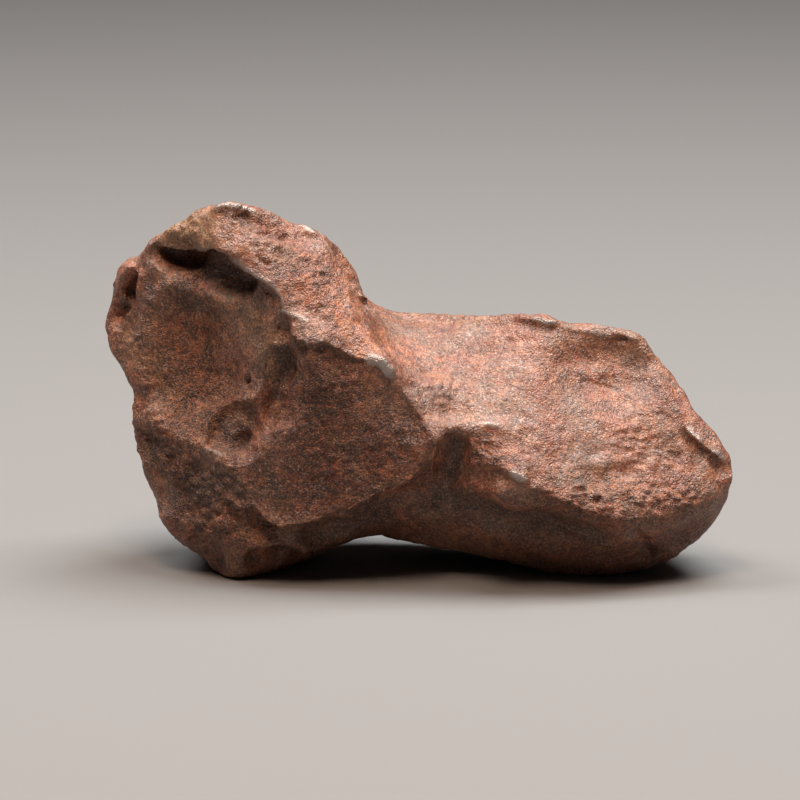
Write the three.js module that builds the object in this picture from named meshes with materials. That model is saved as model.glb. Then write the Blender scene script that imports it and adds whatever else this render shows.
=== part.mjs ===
// A small iron meteorite: one solid piece of nickel-iron, about 31 mm long, with a tall blocky head at one
// end and a flatter arm at the other. Its sides are broad shallow thumbprints, melted out in the fall, that
// meet in worn ridges. Millimetres, +Z up: X runs from the head to the arm, -Y is the side with the tall
// dark facet, and the specimen stands on two worn flats at Z = 0, one under the head and one under the arm.
import * as THREE from "three";
import { ConvexHull } from "three/addons/math/ConvexHull.js";
import { ImprovedNoise } from "three/addons/math/ImprovedNoise.js";
import { mergeVertices } from "three/addons/utils/BufferGeometryUtils.js";

const cornerWear = 0.1; // how softly two facets meet
const neckBlend = 1.8; // how softly the head runs into the arm
const saddleBlend = 0.7; // how softly the neck runs into both
const dishLip = 0.3; // how softly a hollow or a knob meets the skin, where it gives no lip of its own
const waviness = 0.12; // height of the uneven swells all over the skin
const swellLength = 2.6; // distance between two swells
const flatTolerance = 0.05; // skin this close to the table is part of a worn flat

const surfaceDetail = 21; // subdivisions of the icosahedron that is laid over the specimen
const relaxRounds = 30; // rounds of evening out the triangles
const relaxShare = 0.6; // how far a vertex moves to its neighbours' middle in a round
const ridgePull = 6; // how strongly triangles crowd towards ridges and edges
const ridgeBend = 0.3; // the skin's bend at a vertex beyond which the pull grows no more
const slopeStep = 0.02; // half the span over which a slope is measured
const castStep = 0.5; // stride of a ray that looks for the skin
const castHalvings = 16; // how often the last stride is halved

// The head: the corners where its facets meet.
const headCorners = {
  ledgeCorner: [-13.0, -1.2, 16.6],
  browLeft: [-11.2, -2.1, 18.2],
  apex: [-9.1, -3.3, 19.1],
  ledgeEnd: [-9.4, -4.7, 16.3],
  apexRight: [-7.7, -2.9, 17.9],
  shoulderTop: [-4.6, -1.7, 17.1],
  shoulderFar: [-3.3, -0.2, 15.6],
  shoulderEnd: [-2.8, 1.0, 13.8],
  crestHigh: [-8.1, -5.1, 14.9],
  crestTurn: [-6.8, -5.5, 14.1],
  knuckle: [-5.7, -6.2, 12.1],
  knuckleRight: [-3.5, -5.9, 11.8],
  crestKnob: [-1.2, -5.9, 10.9],
  crestLow: [0.0, -6.1, 8.7],
  crestFoot: [1.0, -6.1, 7.5],
  finTop: [-14.8, 1.2, 14.9],
  leftmost: [-15.7, 1.1, 11.6],
  leftWaist: [-13.5, -0.5, 8.4],
  leftKnob: [-13.9, -1.2, 7.2],
  leftFlank: [-13.5, -1.5, 5.0],
  leftFoot: [-12.8, -1.8, 2.5],
  tipLeft: [-11.5, -2.3, 1.1],
  tip: [-9.0, -3.8, -0.35],
  undersideEnd: [-3.7, -0.8, 1.1],
  undersideLow: [-4.8, -1.3, 0.6],
  underTip: [-7.3, -2.0, 0.75],
  facetRight: [0.5, -6.4, 6.0],
  facetLowRight: [-0.9, -6.3, 5.2],
  facetLow: [-3.5, -6.2, 3.9],
  facetFoot: [-5.5, -6.0, 3.1],
  facetCorner: [-7.0, -5.8, 2.9],
  jaw: [-9.5, -5.1, 4.1],
  backTopLeft: [-12.6, 5.2, 12.9],
  backTop: [-9.8, 4.3, 15.7],
  backShoulder: [-5.6, 4.7, 15.2],
  backNeck: [-3.4, 5.6, 12.2],
  backLeft: [-13.1, 4.6, 7.3],
  backFlank: [-12.3, 4.2, 2.8],
  heelLeft: [-9.6, 3.1, -0.5],
  heel: [-5.9, 3.5, -0.7],
  backBulge: [-8.9, 7.6, 7.8],
  backLow: [-6.4, 6.9, 2.8],
  backRight: [-2.9, 7.0, 5.8],
};

// The neck: it fills the valley between the shoulder and the arm with a smooth saddle.
const neckCorners = {
  knobFoot: [-1.7, -5.4, 11.0],
  crest: [-0.1, -5.7, 8.7],
  front: [1.6, -4.6, 9.7],
  middle: [1.9, -2.4, 11.0],
  back: [1.6, -0.6, 11.6],
  shoulderFoot: [-2.9, 0.8, 13.1],
  insideFront: [-3.0, -4.0, 6.0],
  insideRight: [2.0, -3.4, 6.0],
  backLeft: [-3.4, 6.2, 7.6],
  backRight: [2.4, 5.6, 7.8],
  lowLeft: [-3.4, 5.4, 1.5],
  lowRight: [1.8, 4.8, 1.0],
};

// The arm: a wedge whose long ridge faces -Y, with a sloping upper face and an undercut lower one.
const armCorners = {
  rootTop: [-2.5, 2.0, 12.5],
  rimLeft: [2.0, 0.7, 11.9],
  rimFlake: [5.7, -1.2, 12.9],
  rimMiddle: [7.7, -1.3, 12.6],
  rimRight: [9.9, -1.1, 12.3],
  rimCorner: [11.0, -0.9, 12.0],
  sideTop: [11.7, -0.6, 10.9],
  sideMiddle: [12.7, -1.0, 9.3],
  sideLow: [13.7, -1.8, 7.6],
  flakeOut: [14.3, -2.2, 7.0],
  farTip: [15.5, -3.4, 6.0],
  farEdge: [15.7, -3.8, 5.3],
  ridgeStart: [1.0, -6.2, 7.6],
  ridgeRim: [4.0, -6.0, 8.2],
  ridgeKnob: [4.9, -7.4, 6.0],
  ridgeMiddle: [8.3, -7.5, 4.1],
  ridgeLow: [9.9, -7.1, 3.4],
  ridgeRise: [11.4, -6.1, 4.5],
  ridgeFar: [14.4, -4.7, 4.2],
  endLow: [14.9, -3.3, 3.2],
  endFoot: [14.2, -2.8, 1.9],
  bellyRight: [12.2, -2.6, 0.4],
  bellyMiddle: [10.4, -2.5, 0.1],
  belly: [8.5, -2.8, -0.3],
  bellyLeft: [6.2, -2.5, 0.2],
  keelMiddle: [2.8, -2.2, 0.9],
  keelLeft: [-1.0, -2.1, 1.6],
  keelRoot: [-3.8, -2.0, 2.4],
  backRoot: [-1.9, 5.3, 10.8],
  backRimLeft: [1.6, 4.1, 11.0],
  backRimRight: [10.3, 3.2, 10.4],
  backSide: [13.5, 2.4, 6.2],
  backEnd: [13.9, 2.2, 2.7],
  backFoot: [11.6, 2.3, 0.3],
  backKeel: [6.1, 2.6, -0.4],
  backKeelLeft: [-0.9, 3.5, 0.4],
  backMiddle: [4.2, 6.1, 6.0],
  backRight: [9.6, 5.2, 5.2],
};

// Thumbprints and smaller hollows: each lies at a point of the skin, or runs from there to a second point,
// and has the width and depth of a shallow dish.
const hollows = [
  { name: "left face", at: [-10.3, -3.4, 10.9], width: 8.6, depth: 1.5, lip: 0.25 },
  { name: "left face, high", at: [-9.1, -4.4, 12.7], width: 4.9, depth: 0.75, lip: 0.12 },
  { name: "left face, low", at: [-12.0, -2.2, 8.8], width: 4.2, depth: 0.7, lip: 0.4 },
  {
    name: "slit under the ledge",
    at: [-12.6, -1.7, 15.9], to: [-11.0, -3.1, 15.6],
    width: 1.1, depth: 0.5, lip: 0.1,
  },
  {
    name: "pocket under the ledge",
    at: [-10.9, -3.1, 15.2], to: [-9.6, -4.5, 14.9],
    width: 1.9, depth: 0.9, lip: 0.1,
  },
  {
    name: "valley under the knuckle",
    at: [-6.5, -6.0, 11.3], to: [-6.9, -6.0, 9.0],
    width: 2.0, depth: 0.7, lip: 0.2,
  },
  { name: "dent beside the tall facet", at: [-9.5, -4.6, 7.1], width: 2.1, depth: 0.5, lip: 0.15 },
  { name: "waist above the left knob", at: [-14.2, 0.8, 8.8], width: 3.4, depth: 0.8 },
  { name: "notch beside the ledge", at: [-13.8, 0.2, 15.6], width: 2.0, depth: 0.5, lip: 0.15 },
  {
    name: "slot behind the left fin",
    at: [-14.4, -0.6, 13.4], to: [-14.6, -0.6, 11.9],
    width: 1.1, depth: 0.4, lip: 0.2,
  },
  {
    name: "gully beside the facet",
    at: [1.6, -6.3, 7.2], to: [1.3, -6.2, 5.2],
    width: 1.9, depth: 1.0, lip: 0.1,
  },
  { name: "saddle of the neck", at: [0.6, -3.6, 10.6], width: 3.4, depth: 0.35, lip: 0.4 },
  { name: "dish in the arm's upper face", at: [8.8, -2.6, 10.4], width: 5.6, depth: 0.45 },
  { name: "dark hollow of the underside", at: [-4.3, -4.4, 2.7], width: 2.0, depth: 0.5, lip: 0.15 },
  {
    name: "undercut below the facet",
    at: [-1.8, -4.5, 3.4], to: [0.6, -5.2, 4.4],
    width: 2.2, depth: 0.8, lip: 0.15,
  },
  {
    name: "arm's lower face",
    at: [2.6, -4.6, 3.6], to: [7.8, -5.5, 3.2],
    width: 3.2, depth: 0.5, lip: 0.3,
  },
  {
    name: "crease at the arm's foot",
    at: [10.4, -4.4, 2.4], to: [11.5, -3.4, 1.3],
    width: 0.9, depth: 0.3, lip: 0.12,
  },
  { name: "back of the arm", at: [4.6, 5.4, 8.2], width: 6.4, depth: 0.9, lip: 0.4 },
  { name: "far back of the arm", at: [10.6, 4.6, 4.2], width: 5.0, depth: 0.7, lip: 0.4 },
  { name: "back of the head, high", at: [-10.6, 6.6, 11.6], width: 6.4, depth: 0.9, lip: 0.4 },
  { name: "back of the head, low", at: [-10.8, 6.0, 4.4], width: 5.6, depth: 0.8, lip: 0.4 },
  { name: "back of the head, middle", at: [-5.4, 7.0, 7.4], width: 5.0, depth: 0.6, lip: 0.4 },
  { name: "back of the shoulder", at: [-6.4, 4.4, 14.4], width: 4.6, depth: 0.6, lip: 0.35 },
  { name: "underside of the arm", at: [4.0, 1.5, 0.2], width: 6.0, depth: 0.7, lip: 0.4 },
];

// Knobs and rounded ribs, given in the same way.
const knobs = [
  { name: "left knob", at: [-13.2, -2.0, 7.3], width: 1.8, height: 0.4 },
  {
    name: "rib below the left face",
    at: [-12.4, -2.5, 6.4], to: [-9.8, -4.5, 5.9],
    width: 2.0, height: 0.25, lip: 0.5,
  },
  { name: "knuckle", at: [-6.1, -5.9, 12.6], to: [-5.2, -6.1, 12.1], width: 1.6, height: 0.3, lip: 0.15 },
  {
    name: "crest knob",
    at: [-1.9, -5.8, 11.2], to: [-1.1, -5.9, 10.6],
    width: 1.3, height: 0.25, lip: 0.15,
  },
  { name: "ridge knob", at: [4.9, -7.2, 6.1], width: 1.6, height: 0.2 },
  {
    name: "flake on the rim",
    at: [5.2, -1.4, 12.6], to: [6.3, -1.5, 12.5],
    width: 0.9, height: 0.2, lip: 0.12,
  },
  {
    name: "flake at the far end",
    at: [13.2, -2.6, 7.7], to: [14.6, -3.4, 6.2],
    width: 1.2, height: 0.25, lip: 0.12,
  },
];

// The distance outside a facet's plane, softened where facets meet.
function blockDistance(facets, x, y, z) {
  let farthest = -Infinity;
  for (const f of facets) {
    f.reach = f.normal.x * x + f.normal.y * y + f.normal.z * z - f.constant;
    if (f.reach > farthest) farthest = f.reach;
  }
  let sum = 0;
  for (const f of facets) sum += Math.exp((f.reach - farthest) / cornerWear);
  return farthest + cornerWear * Math.log(sum);
}

function facetsOf(corners) {
  const points = Object.values(corners).map((p) => new THREE.Vector3(...p));
  return new ConvexHull().setFromPoints(points).faces.map(({ normal, constant }) => ({ normal, constant }));
}

// The lesser or the greater of two distances, with the join rounded over a width.
function softMin(a, b, width) {
  const h = Math.max(width - Math.abs(a - b), 0) / width;
  return Math.min(a, b) - (h * h * width) / 4;
}

function softMax(a, b, width) {
  return -softMin(-a, -b, width);
}

const headFacets = facetsOf(headCorners);
const armFacets = facetsOf(armCorners);
const neckFacets = facetsOf(neckCorners);
const noise = new ImprovedNoise();

function blocksDistance(x, y, z) {
  const head = blockDistance(headFacets, x, y, z);
  const arm = blockDistance(armFacets, x, y, z);
  const neck = blockDistance(neckFacets, x, y, z);
  return softMin(softMin(head, arm, neckBlend), neck, saddleBlend);
}

// Swells of the full length, with others of half the length and half the height on them.
function swells(x, y, z) {
  const coarse = noise.noise(x / swellLength, y / swellLength, z / swellLength);
  const fine = noise.noise((2 * x) / swellLength, (2 * y) / swellLength, (2 * z) / swellLength);
  return waviness * (coarse + fine / 2);
}

function slopeOf(distance, x, y, z) {
  return new THREE.Vector3(
    distance(x + slopeStep, y, z) - distance(x - slopeStep, y, z),
    distance(x, y + slopeStep, z) - distance(x, y - slopeStep, z),
    distance(x, y, z + slopeStep) - distance(x, y, z - slopeStep),
  ).divideScalar(2 * slopeStep);
}

// Moves a point along the slope towards the skin, where the slope of a true distance would be 1.
function settle(point, distance, rounds) {
  const leastSlope = 0.2;
  for (let i = 0; i < rounds; i++) {
    const slope = slopeOf(distance, point.x, point.y, point.z);
    const d = distance(point.x, point.y, point.z);
    point.addScaledVector(slope, -d / Math.max(slope.lengthSq(), leastSlope));
  }
  return point;
}

// A ball that leaves a dish of this width and depth in the skin, or a cap of this width and height on it.
function ballAt(place, width, depth, side) {
  const point = settle(new THREE.Vector3(...place), blocksDistance, 6);
  const outward = slopeOf(blocksDistance, point.x, point.y, point.z).normalize();
  const radius = (width * width) / (8 * depth) + depth / 2;
  return { centre: point.addScaledVector(outward, side * (radius - depth)), radius };
}

function strokeOf({ at, to, width, depth, height, lip = dishLip }) {
  const side = height ? -1 : 1;
  const start = ballAt(at, width, depth ?? height, side);
  const end = to ? ballAt(to, width, depth ?? height, side) : start;
  const along = end.centre.clone().sub(start.centre);
  const lengthSq = Math.max(along.lengthSq(), Number.EPSILON);
  return { start: start.centre, along, lengthSq, radius: start.radius, lip };
}

function strokeDistance(stroke, x, y, z) {
  const { start, along, lengthSq, radius } = stroke;
  const dx = x - start.x;
  const dy = y - start.y;
  const dz = z - start.z;
  const share = Math.min(Math.max((dx * along.x + dy * along.y + dz * along.z) / lengthSq, 0), 1);
  return Math.hypot(dx - share * along.x, dy - share * along.y, dz - share * along.z) - radius;
}

const dishes = hollows.map(strokeOf);
const caps = knobs.map(strokeOf);

function skinDistance(x, y, z) {
  let d = blocksDistance(x, y, z);
  for (const dish of dishes) d = softMax(d, -strokeDistance(dish, x, y, z), dish.lip);
  for (const cap of caps) d = softMin(d, strokeDistance(cap, x, y, z), cap.lip);
  return Math.max(d + swells(x, y, z), -z);
}

// The icosahedron's vertices start on rays that fan out from the specimen's middle line, and stop at the
// skin.
const headMiddle = new THREE.Vector3(-7.4, 0.4, 8.2);
const armMiddle = new THREE.Vector3(8.2, -1.0, 6.0);

function castOut(direction) {
  const origin = headMiddle.clone().lerp(armMiddle, (direction.x + 1) / 2);
  const point = new THREE.Vector3();
  let inside = 0;
  let outside = castStep;
  const reach = (r) => {
    point.copy(origin).addScaledVector(direction, r);
    return skinDistance(point.x, point.y, point.z);
  };
  while (reach(outside) < 0) outside += castStep;
  for (let i = 0; i < castHalvings; i++) {
    const middle = (inside + outside) / 2;
    if (reach(middle) < 0) inside = middle;
    else outside = middle;
  }
  reach(outside);
  return point;
}

// Each vertex moves to the middle of its neighbours and back to the skin, which evens out the triangles. A
// neighbour counts for more where the skin bends, so that ridges and edges get the smaller triangles.
function relax(points, neighbours) {
  const middleOf = (i, weights) => {
    const middle = new THREE.Vector3();
    let total = 0;
    for (const n of neighbours[i]) {
      middle.addScaledVector(points[n], weights[n]);
      total += weights[n];
    }
    return middle.divideScalar(total);
  };
  const even = points.map(() => 1);
  for (let round = 0; round < relaxRounds; round++) {
    const bends = points.map((p, i) => {
      const slope = slopeOf(skinDistance, p.x, p.y, p.z).normalize();
      return Math.abs(slope.dot(middleOf(i, even).sub(p)));
    });
    const weights = bends.map((bend) => 1 + ridgePull * Math.min(bend, ridgeBend));
    const middles = points.map((_, i) => middleOf(i, weights));
    points.forEach((p, i) => settle(p.lerp(middles[i], relaxShare), skinDistance, 1));
  }
  points.forEach((p) => settle(p, skinDistance, 3));
}

function skinGeometry() {
  const sphere = new THREE.IcosahedronGeometry(1, surfaceDetail);
  sphere.deleteAttribute("normal");
  sphere.deleteAttribute("uv");
  const geometry = mergeVertices(sphere);
  const position = geometry.getAttribute("position");
  const index = geometry.getIndex();
  const points = [];
  const neighbours = [];
  for (let i = 0; i < position.count; i++) {
    points.push(castOut(new THREE.Vector3().fromBufferAttribute(position, i).normalize()));
    neighbours.push(new Set());
  }
  for (let i = 0; i < index.count; i += 3) {
    const corners = [0, 1, 2].map((k) => index.getX(i + k));
    for (const a of corners) for (const b of corners) if (a !== b) neighbours[a].add(b);
  }
  relax(points, neighbours);
  points.forEach((p, i) => position.setXYZ(i, p.x, p.y, p.z < flatTolerance ? 0 : p.z));
  geometry.computeBoundingBox();
  const middle = geometry.boundingBox.getCenter(new THREE.Vector3());
  return geometry.translate(-middle.x, -middle.y, 0);
}

const rustedIron = new THREE.MeshStandardMaterial({ color: 0x6b4234, roughness: 0.55, metalness: 0.5 });

const meteorite = new THREE.Mesh(skinGeometry(), rustedIron);
meteorite.name = "meteorite";

const specimen = new THREE.Group();
specimen.add(meteorite);

export default specimen;
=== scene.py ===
# A small iron meteorite, rusted brown and worn to metal on its ridges, on a pale studio floor.
# The solid of the frame gives the form. A fine copy of it is sculpted here with the ledges, crests, pits and
# flakes that the specimen has, and what the sculpting made of it says where it is rust, dark crust, painted
# shade or metal.
# Sculpting is done in millimetres. A place is given as the pixel of an 800 by 800 picture that it is seen at,
# from the camera or from behind, and is cast onto the surface from there.
import math

import bpy
import numpy as np
from mathutils import Matrix, Vector, noise
from mathutils.bvhtree import BVHTree


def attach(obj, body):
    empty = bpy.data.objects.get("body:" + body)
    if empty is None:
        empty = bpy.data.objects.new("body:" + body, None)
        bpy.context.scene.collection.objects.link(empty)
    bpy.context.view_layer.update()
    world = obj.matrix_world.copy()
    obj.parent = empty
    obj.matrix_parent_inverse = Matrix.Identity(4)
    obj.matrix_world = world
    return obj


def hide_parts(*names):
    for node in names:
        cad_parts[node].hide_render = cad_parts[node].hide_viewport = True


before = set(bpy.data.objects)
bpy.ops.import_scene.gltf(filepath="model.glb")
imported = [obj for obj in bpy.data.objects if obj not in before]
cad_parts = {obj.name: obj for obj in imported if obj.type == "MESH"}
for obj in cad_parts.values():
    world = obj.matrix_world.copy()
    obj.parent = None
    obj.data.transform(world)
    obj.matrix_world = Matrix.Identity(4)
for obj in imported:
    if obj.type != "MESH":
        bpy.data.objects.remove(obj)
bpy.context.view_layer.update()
mm = 0.001


# Camera

view = {
    "aim": Vector((-0.90, -5.97, 9.40)),  # mm, seen at the picture's middle
    "distance": 280.0,                    # mm from the lens to the aim
    "elevation": math.radians(11),
    "pictureSize": 800,                   # pixels
    "pixel": 0.048,                       # mm at the aim
    "sensor": 36.0,                       # mm
    "clip": (0.01, 10.0),                 # m
}


def eyeFrom(turn):
    # place and axes of an eye at the camera's distance, turned about the upright through the aim
    low = view["elevation"]
    spin = Matrix.Rotation(turn, 3, "Z")
    ahead = spin @ Vector((0, math.cos(low), -math.sin(low)))
    up = spin @ Vector((0, math.sin(low), math.cos(low)))
    place = view["aim"] - view["distance"] * ahead
    return {"place": place, "ahead": ahead, "up": up, "right": spin @ Vector((1, 0, 0))}


eyes = {"front": eyeFrom(0), "back": eyeFrom(math.pi)}


def addCamera():
    seenWidth = view["pictureSize"] * view["pixel"]
    tilt = math.pi / 2 - view["elevation"]
    bpy.ops.object.camera_add(location=eyes["front"]["place"] * mm, rotation=(tilt, 0, 0))
    camera = bpy.context.object
    camera.name = "camera"
    camera.data.sensor_width = view["sensor"]
    camera.data.lens = view["sensor"] * view["distance"] / seenWidth
    camera.data.clip_start, camera.data.clip_end = view["clip"]
    bpy.context.scene.camera = camera


def pixelRay(eye, px, py):
    half = view["pictureSize"] / 2
    aside = eye["right"] * (px - half) + eye["up"] * (half - py)
    return (aside * view["pixel"] + eye["ahead"] * view["distance"]).normalized()


def pixelsOf(eye, places):
    # where an eye sees each place of an array
    offset = places - np.array(eye["place"])
    scale = view["distance"] / (offset @ np.array(eye["ahead"])) / view["pixel"]
    half = view["pictureSize"] / 2
    px = half + offset @ np.array(eye["right"]) * scale
    py = half - offset @ np.array(eye["up"]) * scale
    return np.stack([px, py], 1)


addCamera()
print("stage: camera")


# The specimen's body

body = {
    "mergeGap": 1e-7,     # m
    "voxel": 0.12,        # mm, size of a face after a remesh
    "smoothShare": 0.5,   # takes a remesh's steps away
    "firstRounds": 3,
    "laterRounds": 1,     # between the strokes
    "triangles": 190000,  # at the end
}


def selectOnly(piece):
    bpy.ops.object.select_all(action="DESELECT")
    piece.select_set(True)
    bpy.context.view_layer.objects.active = piece


def modify(piece, kind, settings):
    selectOnly(piece)
    modifier = piece.modifiers.new(kind, kind)
    for name, value in settings.items():
        setattr(modifier, name, value)
    bpy.ops.object.modifier_apply(modifier=modifier.name)


def evenFaces(piece, smoothRounds):
    modify(piece, "REMESH", {"mode": "VOXEL", "voxel_size": body["voxel"]})
    modify(piece, "SMOOTH", {"factor": body["smoothShare"], "iterations": smoothRounds})


def startBody():
    # a merged copy of the frame's solid, in millimetres, with even fine faces
    piece = bpy.data.objects.new("specimen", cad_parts["meteorite"].data.copy())
    bpy.context.scene.collection.objects.link(piece)
    selectOnly(piece)
    piece.data.materials.clear()
    bpy.ops.object.mode_set(mode="EDIT")
    bpy.ops.mesh.select_all(action="SELECT")
    bpy.ops.mesh.remove_doubles(threshold=body["mergeGap"])
    bpy.ops.mesh.normals_make_consistent(inside=False)
    bpy.ops.object.mode_set(mode="OBJECT")
    piece.scale = (1 / mm,) * 3
    bpy.ops.object.transform_apply(location=False, rotation=False, scale=True)
    evenFaces(piece, body["firstRounds"])
    return piece


def placesOf(piece):
    places = np.empty(len(piece.data.vertices) * 3)
    piece.data.vertices.foreach_get("co", places)
    return places.reshape(-1, 3)


def normalsOf(piece):
    normals = np.empty(len(piece.data.vertices) * 3)
    piece.data.vertices.foreach_get("normal", normals)
    return normals.reshape(-1, 3)


def putPlaces(piece, places):
    piece.data.vertices.foreach_set("co", places.ravel())
    piece.data.update()


def surfaceTree(piece):
    mesh = piece.data
    return BVHTree.FromPolygons([v.co for v in mesh.vertices], [p.vertices for p in mesh.polygons])


specimen = startBody()
print("stage: body of", len(specimen.data.vertices), "vertices")


# Sculpting

hand = {
    "spacing": 0.12,       # mm between two samples of a stroke
    "wander": 1.3,         # pixels that a path strays, as nothing on a rock is ruled
    "wanderLength": 9.0,   # pixels
    "apart": 9.0,          # keeps straying aside and straying upwards apart
    "uneven": 0.45,        # how much a stroke's strength varies
    "unevenLength": 0.9,   # mm
    "unevenShift": 5.0,    # picks the noise
    "edge": 0.15,          # mm on either side over which a ledge changes to its drop
    "fallOff": 3.0,        # how steeply a ledge rises to its edge
    "brow": 0.1,           # share of its height that is taken off its drop
    "ends": 0.8,           # mm over which a ledge fades at its ends
}


def noiseOf(places, length, shift):
    # smooth noise of -1 to 1 at each place
    made = noise.noise
    return np.array([made(p) for p in (places / length + shift).tolist()])


def castPath(tree, stroke):
    # even samples of a stroke's path of pixels, on the surface, with their pixels
    eye = eyes[stroke.get("eye", "front")]
    path = stroke["path"]
    samples = []
    for start, end in zip(path, path[1:]):
        steps = max(1, round(math.dist(start, end) * view["pixel"] / hand["spacing"]))
        samples += [[a + i / steps * (b - a) for a, b in zip(start, end)] for i in range(steps)]
    samples.append(list(path[-1]))
    for i, (px, py) in enumerate(samples):
        where = Vector((px, py, 0)) / hand["wanderLength"]
        samples[i][0] += hand["wander"] * noise.noise(where)
        samples[i][1] += hand["wander"] * noise.noise(where + Vector((0, 0, hand["apart"])))
    hits = [tree.ray_cast(eye["place"], pixelRay(eye, *s))[0] for s in samples]
    kept = [(s, h) for s, h in zip(samples, hits) if h is not None]
    return np.array([s for s, h in kept]), np.array([h[:] for s, h in kept])


def nearest(places, samples, reach):
    # rows of places within reach of a stroke, their nearest sample and how far it is
    low, high = samples.min(0) - reach, samples.max(0) + reach
    rows = np.nonzero(((places > low) & (places < high)).all(1))[0]
    gaps = np.linalg.norm(places[rows][:, None] - samples[None], axis=2)
    which = gaps.argmin(1)
    far = gaps[np.arange(len(rows)), which]
    near = far < reach
    return rows[near], which[near], far[near]


def fade(x):
    # 1 at 0, 0 from 1 on, smooth
    x = np.clip(x, 0, 1)
    return (1 - x * x) ** 2


def sideOf(pixels, seen, which):
    # 1 for places on the right of a path as one walks down it in the picture, -1 on the left
    ahead = np.gradient(seen, axis=0)[which]
    aside = pixels - seen[which]
    return np.sign(ahead[:, 0] * aside[:, 1] - ahead[:, 1] * aside[:, 0])


def strokeLift(stroke, tree, places):
    # the rows of the places that a stroke moves, and how far it moves them
    seen, samples = castPath(tree, stroke)
    width, height = stroke["width"], stroke["height"]
    rows, which, far = nearest(places, samples, max(width, stroke.get("sinkWidth", 0)))
    if stroke["kind"] == "ledge":
        # raised to an edge on the left of the path, sunk behind it on the right
        pixels = pixelsOf(eyes[stroke.get("eye", "front")], places[rows])
        step = sideOf(pixels, seen, which) * far / stroke.get("edge", hand["edge"])
        step = np.clip(step, -1, 1)
        raised = height * np.exp(-far / width * hand["fallOff"]) * np.clip(-step, -hand["brow"], 1)
        lift = raised - stroke["sink"] * fade(far / stroke["sinkWidth"]) * np.clip(step, 0, 1)
    elif stroke["kind"] == "crest":
        lift = height * (1 - far / width) ** 2
    else:
        lift = height * fade(far / width)
    if stroke["kind"] == "ledge":
        along = which * hand["spacing"]
        whole = (len(samples) - 1) * hand["spacing"]
        lift *= np.clip(np.minimum(along, whole - along) / hand["ends"], 0, 1)
    lift *= 1 - (1 - stroke.get("taper", 1)) * which / len(samples)
    lift *= 1 + hand["uneven"] * noiseOf(places[rows], hand["unevenLength"], hand["unevenShift"])
    return rows, lift


def sculpt(piece, strokes):
    tree = surfaceTree(piece)
    for stroke in strokes:
        places = placesOf(piece)
        rows, lift = strokeLift(stroke, tree, places)
        ways = normalsOf(piece)[rows]
        if "toward" in stroke:
            eye = eyes[stroke.get("eye", "front")]
            ways = np.array(eye["right"] * stroke["toward"][0] + eye["up"] * stroke["toward"][1])[None]
        places[rows] += ways * lift[:, None]
        putPlaces(piece, places)


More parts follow.
